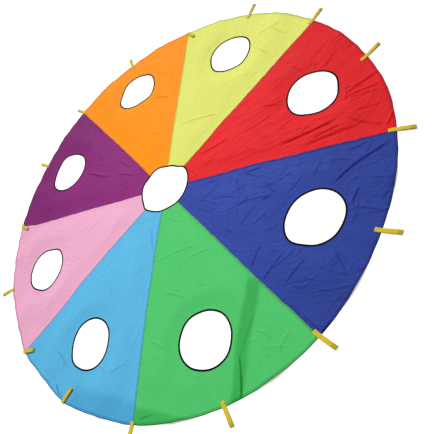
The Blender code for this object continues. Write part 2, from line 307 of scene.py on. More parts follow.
for panel_name, panel_colour, *_ in PANELS:
    ColourSettings.__annotations__[panel_name] = colour_property(
        panel_name.capitalize(), "Colour of the " + panel_name + " panel", panel_colour,
    )


class TrimSettings(bpy.types.PropertyGroup):
    """Binding tape, thread and webbing."""

    tape_colour: colour_property("Tape", "Colour of the binding tape", (0.005, 0.004, 0.006))
    tape_width: number_property("Tape width", "Of tape on each side", 0.0112, 0.004, 0.02, unit="LENGTH")
    tape_thickness: number_property("Tape thickness", "Of one ply", 0.0006, 0.0002, 0.0006, unit="LENGTH")
    webbing_colour: colour_property("Webbing", "Colour of the handles", (0.67, 0.485, 0.018))
    webbing_thickness: number_property(
        "Webbing thickness", "Of one ply", 0.0013, 0.0008, 0.0015, unit="LENGTH",
    )
    stitch_pitch: number_property("Stitch pitch", "From stitch to stitch", 0.004, 0.002, 0.01, unit="LENGTH")


class StageSettings(bpy.types.PropertyGroup):
    """Floor, lamps and camera."""

    key_strength: number_property("Key strength", "Strength of the main lamp", 3.0, 0, 10)
    sky_strength: number_property("Sky strength", "Strength of the light from all round", 0.38, 0, 5)
    key_turn: number_property(
        "Key direction", "Bearing of the main lamp", math.radians(98), 0, 2 * math.pi, subtype="ANGLE",
    )
    key_rise: number_property(
        "Key height", "Height of the main lamp", math.radians(42), 0, math.pi / 2, subtype="ANGLE",
    )
    lens: number_property("Lens", "Focal length in millimetres", 39.31, 10, 200)


# Shader nodes


class Field:
    """A shader value that can stand in plain arithmetic."""

    def __init__(self, nodes, socket):
        self.nodes = nodes
        self.socket = socket

    def math(self, operation, *others):
        sockets = dict(enumerate((self, *others)))
        return self.nodes.node("ShaderNodeMath", {"operation": operation}, sockets)

    def __add__(self, other):
        return self.math("ADD", other)

    def __mul__(self, other):
        return self.math("MULTIPLY", other)

    def __sub__(self, other):
        return self.math("SUBTRACT", other)

    def __rsub__(self, other):
        return self * -1 + other

    __radd__, __rmul__ = __add__, __mul__

    def __truediv__(self, other):
        return self.math("DIVIDE", other)

    def __abs__(self):
        return self.math("ABSOLUTE")

    def below(self, edge, soft):
        """1 where the value is under an edge, 0 above it, with a soft step."""
        span = {"From Min": edge - soft / 2, "From Max": edge + soft / 2, "To Min": 1.0, "To Max": 0.0}
        settings = {"interpolation_type": "SMOOTHSTEP"}
        return self.nodes.node("ShaderNodeMapRange", settings, {"Value": self, **span})

    def above(self, edge, soft):
        return 1 - self.below(edge, soft)


class Nodes:
    """A node tree, and short ways to fill it."""

    def __init__(self, tree):
        self.tree = tree

    def node(self, kind, settings=None, sockets=None, output=0):
        made = self.tree.nodes.new(kind)
        for key, value in (settings or {}).items():
            setattr(made, key, value)
        for key, value in (sockets or {}).items():
            self.put(made.inputs[key], value)
        return Field(self, made.outputs[output])

    def put(self, socket, value):
        if isinstance(value, Field):
            self.tree.links.new(value.socket, socket)
        else:
            socket.default_value = value

    def outputs(self, field):
        """Every output of a field's node."""
        return {socket.name: Field(self, socket) for socket in field.socket.node.outputs}

    def noise(self, vector, scale, detail=2.0, roughness=0.5, distortion=0.0):
        return self.node("ShaderNodeTexNoise", None, {
            "Vector": vector, "Scale": scale, "Detail": detail,
            "Roughness": roughness, "Distortion": distortion,
        })

    def stretched_noise(self, vector, scale, turn=0.0, **kind):
        """Noise that is longer one way than the other, along a direction."""
        sockets = {"Vector": vector, "Scale": (*scale, 1.0), "Rotation": (0, 0, turn)}
        return self.noise(self.node("ShaderNodeMapping", None, sockets), 1.0, **kind)

    def mix(self, share, first, second):
        """A colour between two colours."""
        settings = {"data_type": "RGBA", "blend_type": "MIX"}
        return self.node("ShaderNodeMix", settings, {0: share, 6: first, 7: second}, output=2)

    def attribute(self, name):
        return self.node("ShaderNodeAttribute", {"attribute_name": name}, output=2)


class Paint(Nodes):
    """One material and the nodes that make it."""

    def __init__(self, name, roughness, specular=0.3):
        self.material = bpy.data.materials.new(name)
        self.material.use_nodes = True
        super().__init__(self.material.node_tree)
        self.shader = self.tree.nodes["Principled BSDF"]
        self.shader.inputs["Roughness"].default_value = roughness
        self.shader.inputs["Specular IOR Level"].default_value = specular

    def places(self, name):
        """The points of one of the piece's maps, and their two coordinates."""
        place = self.node("ShaderNodeUVMap", {"uv_map": name})
        parts = self.outputs(self.node("ShaderNodeSeparateXYZ", None, {"Vector": place}))
        return place, parts["X"], parts["Y"]

    def finish(self, colour, tone, roughness=None, relief=None, strength=1.0):
        """Colour the shader, lighter or darker by a tone, and rough and uneven where given."""
        sockets = {0: colour, "Scale": tone}
        shaded = self.node("ShaderNodeVectorMath", {"operation": "SCALE"}, sockets)
        self.put(self.shader.inputs["Base Color"], shaded)
        if relief is not None:
            self.put(self.shader.inputs["Roughness"], roughness)
            sockets = {"Height": relief, "Distance": 1.0, "Strength": strength}
            self.put(self.shader.inputs["Normal"], self.node("ShaderNodeBump", None, sockets))
        return self.material


def taffeta(name, colour, index, roughness):
    """Plain woven cloth: thread slubs, fine crinkles, seam and hem lines, and painted shade in creases, sharp
    folds, doubled cloth and along the rim.
    """
    _, _, fell_sides, _, _, rim_darkening, clouds = PANELS[index]
    paint = Paint(name, roughness, 0.03)
    flat, out, clockwise = paint.places("flat")
    radius = (out * out + clockwise * clockwise).math("SQRT")
    from_seam = out * SEAM_SINE - abs(clockwise) * SEAM_COSINE
    hem_line = 1 - abs(radius - HEM_RADIUS).above(0.0012, 0.0012)
    sewn = from_seam.below(0.0022, 0.0016)
    double = paint.attribute("double")
    # Where the hem and the felled strips lie doubled, which is drawn darker below as painted shade
    layers = radius.above(HEM_RADIUS, 0.0012) * 0.9
    for side in fell_sides:
        near = (clockwise * side).above(0, 0.001)
        layers = layers + near * from_seam.below(FELL_WIDTH, 0.0008)
        sewn = sewn * (1 - near * 0.7)
    cloudy = paint.noise(flat, 3.1, 3.0, 0.55)
    patchy = paint.noise(flat, 9.0, 3.0, 0.6, 0.6)
    slubs = sum(paint.stretched_noise(flat, scale, detail=1.0) for scale in ((30.0, 1400.0), (1400.0, 30.0)))
    tone = (1 - clouds * 0.5 + cloudy * clouds) * (1 - clouds * 0.3 + patchy * clouds * 0.6)
    # Darker towards the rim, by each panel's share
    tone = tone * (0.985 + slubs * 0.015) * (1 - radius.above(1.05, 0.9) * rim_darkening)
    # Painted shade: darker at creases, sharp folds and doubled patches, and where the hem and felled strips
    # lie doubled
    tone = tone * (1 - double * 0.14) * (1 - layers * 0.10)
    # Painted shade along the rim's edge, where the hem falls away to the floor
    edge = radius.above(CANOPY_RADIUS - 0.005, 0.002)
    tone = tone * (1 - sewn * 0.45) * (1 - hem_line * 0.30) * (1 - edge * 0.52)
    # A deeper, more saturated colour for the painted shade, and for the seam lines
    deep = tuple(c ** 1.7 for c in colour)
    depth = double * 0.42 + layers * 0.25 + sewn * 0.3
    cloth = paint.mix(depth, (*colour, 1), (*deep, 1))
    for side, tint in THREAD_LINES.get(NAMES[index], ()):
        line = 1 - abs(from_seam - FELL_WIDTH + 0.002).above(0.002, 0.002)
        cloth = paint.mix(line * (clockwise * side).above(0, 0.001) * 0.6, cloth, (*tint, 1))
    turn = -math.radians(LOOSE_CREASES[NAMES[index]][1])
    crinkle = paint.stretched_noise(flat, (6.0, 17.0), turn, detail=4.0, roughness=0.6, distortion=0.8)
    crinkle = (1 - abs(crinkle - 0.5) * 6).math("MAXIMUM", 0.0)
    crumple = paint.stretched_noise(flat, (15.0, 34.0), turn + 0.5, detail=3.0, roughness=0.6, distortion=1.0)
    crumple = (1 - abs(crumple - 0.5) * 5).math("MAXIMUM", 0.0)
    crinkled = min(0.0008 + 0.0045 * clouds, 0.0015)
    relief = crinkle * crinkle * crinkled + crumple * crumple * crinkled * 0.4 + cloudy * 0.002
    return paint.finish(cloth, tone, roughness - 0.04 + cloudy * 0.08, relief + slubs * 0.00002, 0.9)


def woven_tape(name, colour):
    """Narrow woven tape, with ribs across it."""
    paint = Paint(name, 0.75, 0.03)
    place, along, _ = paint.places("strip")
    ribs = (along * (2 * math.pi / 0.0012)).math("SINE")
    threads = paint.stretched_noise(place, (500.0, 1500.0))
    tone = 0.9 + threads * 0.5 + ribs * 0.06
    return paint.finish(colour, tone, 0.64 + threads * 0.16, ribs * 0.00006 + threads * 0.00008)


def webbing(name, colour):
    """Woven webbing: ribs along it, a herringbone of threads, and painted shade along its edges and inside
    the loop's tip.
    """
    paint = Paint(name, 0.62, 0.12)
    place, along, across = paint.places("strip")
    rib = (across * (2 * math.pi / 0.0031)).math("SINE")
    slope = abs((across / 0.0031).math("FRACT") - 0.5) * 0.0018
    twill = ((along + slope) * (2 * math.pi / 0.0011)).math("SINE")
    fuzz = paint.stretched_noise(place, (700.0, 1600.0))
    wear = paint.noise(place, 45.0, 3.0, 0.6)
    # Painted shade along the strap's edges
    edge = abs(across).above(STRAP_WIDTH / 2 - 0.0016, 0.001)
    tone = 0.9 + rib * 0.05 + twill * 0.05 + fuzz * 0.10 + wear * 0.06
    # Painted shade inside the loop's tip, in a darker olive
    tip_shade_colour = tuple(c * s for c, s in zip(colour, (0.70, 0.76, 1.1)))
    colours = paint.mix(paint.attribute("tip"), (*colour, 1), (*tip_shade_colour, 1))
    relief = rib * 0.00010 + twill * 0.00006 + fuzz * 0.00006
    return paint.finish(colours, tone * (1 - edge * 0.12), 0.55 + fuzz * 0.14, relief)


def thread(name, colour):
    """Sewing thread, with a twist along it."""
    paint = Paint(name, 0.5, 0.35)
    place = paint.node("ShaderNodeTexCoord", output=3)
    return paint.finish(colour, 0.85 + paint.noise(place, 2200.0, 1.0) * 0.3)


# Shape of the lying cloth, in arrays


def smooth(value):
    value = np.clip(value, 0, 1)
    return value * value * (3 - 2 * value)


def eased(value, stations):
    """A curve through stations (place, height), flat at each of them."""
    places, heights = np.array(stations, float).T
    value = np.clip(value, places[0], places[-1])
    step = np.clip(np.searchsorted(places, value, side="right") - 1, 0, len(places) - 2)
    share = smooth((value - places[step]) / (places[step + 1] - places[step]))
    return heights[step] + (heights[step + 1] - heights[step]) * share


def around(turn, heights):
    """A smooth closed curve through heights at even steps of a full turn."""
    heights = np.array(heights, float)
    place = turn / (2 * np.pi) * len(heights)
    step = np.floor(place).astype(int)
    share = place - step
    before, here, there, after = (heights[(step + k) % len(heights)] for k in (-1, 0, 1, 2))
    bend = 2 * before - 5 * here + 4 * there - after + share * (3 * (here - there) + after - before)
    return here + 0.5 * share * (there - before + share * bend)


def to_world(local, index):
    """Points (outwards, clockwise) of a panel, in the plan."""
    azimuth = -index * PANEL_ANGLE
    turn = np.array(((math.cos(azimuth), math.sin(azimuth)), (math.sin(azimuth), -math.cos(azimuth))))
    return local @ turn


def polar(distance, bearing):
    """Points at a distance and bearing from the middle."""
    return np.stack((distance * np.cos(bearing), distance * np.sin(bearing)), axis=-1)


def measured(local):
    """Distance of panel points from the canopy's middle, the nearest seam and the hole's middle."""
    radius = np.hypot(local[:, 0], local[:, 1])
    from_seam = local[:, 0] * SEAM_SINE - np.abs(local[:, 1]) * SEAM_COSINE
    return radius, from_seam, np.hypot(local[:, 0] - HOLE_PLACE, local[:, 1])


def swells(local, index):
    """The long swells of the cloth, as in the solid model."""
    direction, phase = math.radians(PANELS[index][3]), PANELS[index][4]
    radius, from_seam, from_hole = measured(local)
    keep = smooth(from_seam / 0.17) * smooth((from_hole - HOLE_RADIUS - COLLAR) / 0.11)
    keep *= smooth((radius - VENT_RADIUS - COLLAR) / 0.24)
    for turn in HANDLE_TURNS:
        away = np.linalg.norm(local - polar(CANOPY_RADIUS, turn), axis=1)
        keep *= smooth((away - 0.14) / 0.16)
    wave = np.sin(2 * np.pi * (local @ polar(1, -direction) / SWELL_LENGTH + phase))
    near_rim = smooth((radius - CANOPY_RADIUS + 0.20) / 0.20)
    height = SWELL_HEIGHT + (RIM_HEIGHT - SWELL_HEIGHT) * near_rim
    dip = SWELL_DIP * (1 - near_rim)
    return height * keep * (1 - dip + dip * wave)


def ridge(local, start, end, widths, bow):
    """One crease: a crest along a line that fades at its ends, and painted shade along its steep side."""
    axis = np.subtract(end, start)
    length = math.hypot(*axis)
    axis = axis / length
    rel = local - start
    along = rel @ axis / length
    side = rel[:, 0] * -axis[1] + rel[:, 1] * axis[0] - bow * length * np.sin(np.pi * along)
    width = np.where(side > 0, widths[0], widths[1])
    crest = np.clip(1 - np.abs(side) / width, 0, 1) ** 1.7
    steep = widths[0] / 2 if widths[0] < widths[1] else -widths[1] / 2
    # Painted shade: a soft dark line on the steep side, where the fold would fall into shade
    dark = smooth(1.25 - np.abs(side - steep) / (0.004 + 0.28 * max(widths)))
    ends = smooth(along / 0.22) * smooth((1 - along) / 0.22)
    return crest * ends, dark * ends


def panel_creases(index):
    """The creases of one panel: start, end, height, widths and bow."""
    name = NAMES[index]
    rng = np.random.default_rng(40 + index)
    settings = bpy.context.scene.parachute_panels
    light = polar(1, -bpy.context.scene.parachute_stage.key_turn - index * PANEL_ANGLE)
    found = []

    def add(start, end, height, widths, bow):
        axis = np.subtract(end, start)
        lit = (axis[0] * light[1] - axis[1] * light[0] > 0) == (height > 0)
        found.append((start, end, height, widths[::-1] if lit else widths, bow))

    for r0, t0, r1, t1, height in CREASES[name]:
        widths = (0.0065 + 0.0007 * abs(height), 0.011 + 0.0026 * abs(height))
        add((r0, t0), (r1, t1), MM * height * settings.crease, widths, rng.uniform(-0.05, 0.05))
    count, direction, stray, longest, high = LOOSE_CREASES[name]
    for _ in range(count):
        radius = math.sqrt(rng.uniform(0.24 ** 2, 1.46 ** 2))
        start = polar(radius, rng.uniform(-0.94, 0.94) * HALF_PANEL)
        turn = math.radians(direction + rng.normal(0, stray))
        end = start + polar(0.05 + (longest - 0.05) * rng.random() ** 1.5, turn)
        height = settings.loose_crease * high * rng.uniform(0.35, 1.0) * (1 if rng.random() < 0.7 else -1)
        widths = (rng.uniform(0.0065, 0.010), rng.uniform(0.010, 0.022))
        add(start, end, height, widths, rng.uniform(-0.08, 0.08))
    return found


def creases(local, index):
    """Height of a panel's creases, which die out at seams, handles and bindings, and the painted shade on
    their steep sides.
    """
    height = np.zeros(len(local))
    dark = np.zeros(len(local))
    for start, end, rise, widths, bow in panel_creases(index):
        low = np.minimum(start, end) - 0.05
        high = np.maximum(start, end) + 0.05
        near = np.all((local > low) & (local < high), axis=1)
        if near.any():
            crest, shade = ridge(local[near], start, end, widths, bow)
            height[near] += rise * crest
            dark[near] = np.maximum(dark[near], shade * np.clip(300 * abs(rise) - 0.45, 0, 1.5))
    height = CREASE_LIMIT * np.tanh(height / CREASE_LIMIT)
    radius, from_seam, from_hole = measured(local)
    keep = smooth((from_seam - 0.002) / 0.03)
    for away, run in ((from_hole - HOLE_RADIUS, 0.025), (radius - VENT_RADIUS, 0.03)):
        keep *= 0.2 + 0.8 * smooth((away - 0.010) / run)
    for turn in HANDLE_TURNS:
        outward = local @ polar(1, turn)
        beside = np.abs(local @ polar(1, turn + math.pi / 2))
        keep *= 1 - smooth((outward - 1.34) / 0.05) * (1 - smooth((beside - 0.03) / 0.03))
    return height * keep, dark * keep


def inside(local, corners, soft):
    """1 well inside a convex patch, 0 outside it."""
    corners = np.array(corners, float)
    middle = corners.mean(0)
    share = np.ones(len(local))
    for start, end in zip(corners, np.roll(corners, -1, axis=0)):
        edge = end - start
        normal = np.array((-edge[1], edge[0])) / math.hypot(*edge)
        if (middle - start) @ normal < 0:
            normal = -normal
        share = np.minimum(share, smooth(0.5 + (local - start) @ normal / soft))
    return share


def doubled(local, index):
    """Where the cloth lies doubled, and how much painted shade it gets there."""
    share = np.zeros(len(local))
    for corners, soft, dark in TUCKS.get(NAMES[index], ()):
        share = np.maximum(share, dark * inside(local, corners, soft))
    return share


def fold_lines(local, index):
    """How near points lie to the sharp folds, which sets their painted shade."""
    share = np.zeros(len(local))
    for r0, t0, r1, t1, dark in FOLD_LINES.get(NAMES[index], ()):
        start, run = np.array((r0, t0)), np.array((r1 - r0, t1 - t0))
        along = np.clip((local - start) @ run / (run @ run), 0, 1)
        away = np.linalg.norm(local - start - along[:, None] * run, axis=1)
        share = np.maximum(share, dark * np.clip(1 - away / FOLD_LINE_WIDTH, 0, 1))
    return share


def seam_pucker(radius, seam):
    """Small waves along a seam, drawn up by its thread."""
    rng = np.random.default_rng(70 + seam)
    wave = sum(
        rng.uniform(0.5, 1) * np.sin(2 * np.pi * (radius / rng.uniform(0.035, 0.11) + rng.random()))
        for _ in range(4)
    )
    ends = smooth((radius - 0.23) / 0.06) * smooth((1.38 - radius) / 0.06)
    return 0.0004 * (wave + 1.6) * ends


def seam_stray(radius, seam):
    """How far a seam lies clockwise of its straight line."""
    slide = SLIDES.get(NAMES[seam] + "_" + NAMES[(seam + 1) % PANEL_COUNT], 0)
    stray = MM * (eased(radius, SEAM_STRAYS[NAMES[seam]]) + slide * smooth((radius - 1.1) / 0.35))
    wiggle = 0.0008 * np.sin(radius * 55 + 2 * seam) + 0.0005 * np.sin(radius * 130 + seam)
    return stray + wiggle * smooth((radius - 0.26) / 0.1) * smooth((1.46 - radius) / 0.1)


def shifted(local, index):
    """Where points of the flat panel lie in the plan."""
    flat_radius, _, from_hole = measured(local)
    flat_angle = np.arctan2(local[:, 1], local[:, 0])
    bearing = np.arctan2(local[:, 1], local[:, 0] - HOLE_PLACE)
    rise = MM * around(bearing, HOLES[NAMES[index]])
    rise *= np.exp(-((np.maximum(from_hole - HOLE_RADIUS - 0.01, 0) / 0.075) ** 2))
    moved = local + polar(rise, bearing)
    radius = np.hypot(moved[:, 0], moved[:, 1])
    angle = np.arctan2(moved[:, 1], moved[:, 0])
    for side, seam in ((1, index), (-1, (index - 1) % PANEL_COUNT)):
        share = 1 - smooth((HALF_PANEL - side * flat_angle) / HALF_PANEL)
        angle += share * seam_stray(flat_radius, seam) / np.maximum(flat_radius, 0.1)
    clock = flat_angle + index * PANEL_ANGLE
    ripple = (2.0 + 1.4 * np.cos(clock - 4.3)) * (np.sin(57 * clock) * 0.7 + np.sin(91 * clock + 2) * 0.5)
    radius += MM * (around(clock, RIM) + ripple) * smooth((flat_radius - 1.30) / 0.20)
    radius += MM * around(clock, VENT) * (1 - smooth((flat_radius - VENT_RADIUS - 0.01) / 0.18))
    return polar(radius, angle)


def lie(local, index):
    """Middle of the cloth where it lies, and the painted shade of its creases, sharp folds and doubled
    patches there.
    """
    radius, from_seam, _ = measured(local)
    double = doubled(local, index)
    folds, dark = creases(local, index)
    height = FABRIC_MIDDLE + np.maximum(swells(local, index) + folds, 0)
    seams = np.where(local[:, 1] > 0, index, (index - 1) % PANEL_COUNT)
    for seam in (index, (index - 1) % PANEL_COUNT):
        along = seams == seam
        height[along] += seam_pucker(radius[along], seam) * np.exp(-((from_seam[along] / 0.016) ** 2))
    height += 0.0006 * double * smooth((from_seam - 0.005) / 0.02) * smooth((1.47 - radius) / 0.02)
    return np.column_stack((to_world(shifted(local, index), index), height)), double + dark


# Meshes


def deselect():
    if bpy.context.mode != "OBJECT":
        bpy.ops.object.mode_set(mode="OBJECT")
    bpy.ops.object.select_all(action="DESELECT")


def focus(item):
    deselect()
    item.select_set(True)
    bpy.context.view_layer.objects.active = item


def apply_modifier(item, name, kind, **settings):
    focus(item)
    modifier = item.modifiers.new(name, kind)
    for key, value in settings.items():
        setattr(modifier, key, value)
    bpy.ops.object.modifier_apply(modifier=modifier.name)


def smooth_by_angle(item, degrees):
    focus(item)
    bpy.ops.object.shade_smooth_by_angle(angle=math.radians(degrees))


def set_material(mesh, material):
    mesh.materials.clear()
    mesh.materials.append(material)


def add_piece(name, mesh, material):
    set_material(mesh, material)
    item = bpy.data.objects.new(name, mesh)
    bpy.context.scene.collection.objects.link(item)
    return item


def set_uv(mesh, name, points):
    """Give each corner of a mesh the map place of its point."""
    while mesh.uv_layers:
        mesh.uv_layers.remove(mesh.uv_layers[0])
    layer = mesh.uv_layers.new(name=name)
    corners = np.zeros(len(mesh.loops), np.int32)
    mesh.loops.foreach_get("vertex_index", corners)
    layer.data.foreach_set("uv", np.asarray(points, np.float32)[corners].ravel())


def set_level(mesh, name, levels):
    attribute = mesh.attributes.new(name, "FLOAT", "POINT")
    attribute.data.foreach_set("value", np.asarray(levels, np.float32))


def arc(centre, radius, start, end, step):
    count = max(int(abs(end - start) * radius / step), 8)
    return polar(radius, np.linspace(start, end, count + 1)) + (centre, 0)


def seam_line(inset, side, step, start=VENT_RADIUS, end=CANOPY_RADIUS):
    """Points along a seam at a distance from it; side is 1 for the clockwise seam."""
    first = math.sqrt(start ** 2 - inset ** 2)
    last = math.sqrt(end ** 2 - inset ** 2)
    along = np.linspace(first, last, max(int((last - first) / step), 2) + 1)
    return np.stack((
        along * SEAM_COSINE + inset * SEAM_SINE,
        side * (along * SEAM_SINE - inset * SEAM_COSINE),
    ), axis=1)


def panel_lines(index, grain):
    """The lines that a flat panel's triangles have to follow, and whether each is closed."""
    edge = CLEARANCE / 2
    turn = HALF_PANEL - math.asin(edge / CANOPY_RADIUS)
    vent_turn = HALF_PANEL - math.asin(edge / VENT_RADIUS)
    inner_turn = HALF_PANEL - 0.0125 / CANOPY_RADIUS
    outline = np.concatenate((
        arc(0, VENT_RADIUS, vent_turn, -vent_turn, grain)[:-1],
        seam_line(edge, -1, grain)[:-1],
        arc(0, CANOPY_RADIUS, -turn, turn, grain)[:-1],
        seam_line(edge, 1, grain)[::-1][:-1],
    ))
    lines = [
        (outline, True), (arc(HOLE_PLACE, HOLE_RADIUS, 0, 2 * math.pi, grain)[:-1], True),
        (arc(0, HEM_RADIUS, -inner_turn, inner_turn, grain), False),
    ]
    for side in PANELS[index][2]:
        for inset in (FELL_WIDTH, FELL_WIDTH + FELL_STEP):
            lines.append((seam_line(inset, side, grain, VENT_RADIUS + 0.002, CANOPY_RADIUS - 0.001), False))
    return lines


def scattered(index, grain):
    """Points spread evenly over a flat panel, clear of its lines."""
    grid = []
    for number, row in enumerate(np.arange(VENT_RADIUS, CANOPY_RADIUS, grain * math.sqrt(3) / 2)):
        half = (row + 0.1) * math.tan(HALF_PANEL)
        columns = np.arange(-half, half, grain) + (grain / 2 if number % 2 else 0)
        grid.append(np.stack((np.full(len(columns), row), columns), axis=1))
    grid = np.concatenate(grid)
    grid += np.random.default_rng(index).uniform(-0.12, 0.12, grid.shape) * grain
    radius, from_seam, from_hole = measured(grid)
    gap = grain * 0.55
    keep = (from_seam > CLEARANCE / 2 + gap) & (radius > VENT_RADIUS + gap) & (radius < CANOPY_RADIUS - gap)
    keep &= (from_hole > HOLE_RADIUS + gap) & (np.abs(radius - HEM_RADIUS) > gap)
    for side in PANELS[index][2]:
        keep &= (grid[:, 1] * side < 0) | (np.abs(from_seam - FELL_WIDTH - FELL_STEP / 2) > gap)
    return grid[keep]


def flat_panel(index, grain):
    """Triangles of the flat panel: its points, its faces and the points of its rim."""
    points, edges = [], []
    for line, closed in panel_lines(index, grain):
        first = len(points)
        points += line.tolist()
        edges += [(first + i, first + i + 1) for i in range(len(line) - 1)]
        if closed:
            edges.append((len(points) - 1, first))
    points += scattered(index, grain).tolist()
    verts, _, faces, *_ = delaunay_2d_cdt([Vector(p) for p in points], edges, [], 0, 1e-6)
    verts, faces = np.array([tuple(v) for v in verts]), np.array(faces)
    radius, from_seam, from_hole = measured(verts[faces].mean(1))
    keep = (from_hole > HOLE_RADIUS * 0.9995) & (from_seam > CLEARANCE * 0.45)
    keep &= (radius > VENT_RADIUS * 0.9995) & (radius < CANOPY_RADIUS)
    first, second = verts[faces[:, 1]] - verts[faces[:, 0]], verts[faces[:, 2]] - verts[faces[:, 0]]
    keep &= np.abs(first[:, 0] * second[:, 1] - first[:, 1] * second[:, 0]) > 1e-7
    used, faces = np.unique(faces[keep], return_inverse=True)
    verts = verts[used]
    rim = np.flatnonzero(np.abs(np.hypot(verts[:, 0], verts[:, 1]) - CANOPY_RADIUS) < 1e-5)
    return verts, faces.reshape(-1, 3), rim[np.argsort(np.arctan2(verts[rim, 1], verts[rim, 0]))]


def panel_sheet(index, grain):
    """A panel's cloth: the flat cut with its hem turned under, laid on the floor."""
    local, faces, rim = flat_panel(index, grain)
    faces = faces[:, ::-1].tolist()
    radius, from_seam, _ = measured(local)
    layers = HEM_RISE * smooth((radius - HEM_RADIUS + 0.001) / 0.002)
    for side in PANELS[index][2]:
        strip = (local[:, 1] * side > 0) & (from_seam < FELL_WIDTH + FELL_STEP / 2)
        strip &= (radius > VENT_RADIUS + 0.025) & (radius < CANOPY_RADIUS - 0.032)
        layers[strip] += FELL_RISE
    flat, layers = [local], [layers]
    previous, total = rim, len(local)
    for step, drop in TURNED_HEM:
        flat.append(local[rim] * (CANOPY_RADIUS + step) / CANOPY_RADIUS)
        layers.append(np.full(len(rim), drop))
        current = np.arange(total, total + len(rim))
        faces += np.stack((previous[:-1], previous[1:], current[1:], current[:-1]), axis=1).tolist()
        previous, total = current, total + len(rim)
    local = np.concatenate(flat)
    placed, dark = lie(local, index)
    placed[:, 2] += np.concatenate(layers)
    mesh = bpy.data.meshes.new("panel_cloth_" + NAMES[index])
    mesh.from_pydata(placed.tolist(), [], faces)
    set_uv(mesh, "flat", local)
    # Painted shade of the creases, sharp folds and doubled patches, for the cloth's material
    set_level(mesh, "double", dark + fold_lines(local, index))
    return mesh


def ring_profile(radius, width, thickness):
    """Section of the binding, folded round a cut edge, as radius and height."""
    groove, top, corner, nick = radius - CLEARANCE, BINDING_HEIGHT, 0.0008, 0.00025
    inner = groove - thickness
    outer = inner + width
    return [
        (outer, top - 0.0002), (outer - 0.0006, top), (inner + corner, top), (inner + nick, top - nick),
        (inner, top - corner), (inner, corner), (inner + nick, nick), (inner + corner, 0),
        (outer - 0.0006, 0), (outer, 0.0002), (outer, thickness - 0.0001), (groove, thickness),
        (groove, top - thickness), (outer, top - thickness + 0.0001),
    ]


def turn_out(item):
    """Turn every face of a piece outwards."""
    focus(item)
    bpy.ops.object.mode_set(mode="EDIT")
    bpy.ops.mesh.select_all(action="SELECT")
    bpy.ops.mesh.normals_make_consistent(inside=False)
    bpy.ops.object.mode_set(mode="OBJECT")


def spun_ring(name, radius, steps, trim):
    """A flat ring of binding round the origin, spun from its section."""
    profile = ring_profile(radius, trim.tape_width, trim.tape_thickness)
    deselect()
    bpy.ops.mesh.primitive_circle_add(vertices=len(profile), radius=0.01, location=(0, 0, 0))
    ring = bpy.context.object
    ring.name = name
    for vert, (out, height) in zip(ring.data.vertices, profile):
        vert.co = (out, 0, height)
    bpy.ops.object.mode_set(mode="EDIT")
    bpy.ops.mesh.select_all(action="SELECT")
    bpy.ops.mesh.spin(steps=steps, angle=2 * math.pi, center=(0, 0, 0), axis=(0, 0, 1))
    bpy.ops.mesh.select_all(action="SELECT")
    bpy.ops.mesh.remove_doubles(threshold=0.00001)
    bpy.ops.object.mode_set(mode="OBJECT")
    turn_out(ring)
    return ring


def lay_ring(ring, radius, index):
    """Put a flat ring in its place on the cloth, and give it its map. The vent's has no index."""
    mesh = ring.data
    flat = np.array([tuple(v.co) for v in mesh.vertices])
    bearing = np.arctan2(flat[:, 1], flat[:, 0])
    out = np.hypot(flat[:, 0], flat[:, 1])
    if index is None:
        placed = np.zeros((len(flat), 3))
        panels = np.round(-bearing / PANEL_ANGLE).astype(int) % PANEL_COUNT
        for number in range(PANEL_COUNT):
            mine = panels == number
            placed[mine], _ = lie(polar(out[mine], -bearing[mine] - number * PANEL_ANGLE), number)
    else:
        placed, _ = lie(flat[:, :2] + (HOLE_PLACE, 0), index)
        mesh.flip_normals()
    placed[:, 2] += flat[:, 2] - FABRIC_MIDDLE
    mesh.vertices.foreach_set("co", placed.astype(np.float32).ravel())
    set_uv(mesh, "strip", np.stack((bearing * radius, out - radius), axis=1))


# Webbing


def run_of(line):
    """Distance along a line of points to each of them."""
    return np.concatenate(([0], np.cumsum(np.linalg.norm(np.diff(line, axis=0), axis=1))))


def points_at(line, places):
    """Points at given distances along a line of points."""
    run = run_of(line)
    return np.stack([np.interp(places, run, values) for values in line.T], axis=1)


def strap_path(points, step=0.003):
    """Points at even steps along a smooth line through given points."""
    points = np.array(points, float)
    padded = np.vstack((2 * points[0] - points[1], points, 2 * points[-1] - points[-2]))
    t = np.linspace(0, 1, 24, endpoint=False)[:, None]
    dense = [
        0.5 * (2 * b + (c - a) * t + (2 * a - 5 * b + 4 * c - d) * t ** 2 + (3 * b - a - 3 * c + d) * t ** 3)
        for a, b, c, d in zip(padded, padded[1:], padded[2:], padded[3:])
    ]
    dense = np.concatenate((*dense, points[-1:]))
    total = run_of(dense)[-1]
    return points_at(dense, np.linspace(0, total, max(int(total / step), 2) + 1))


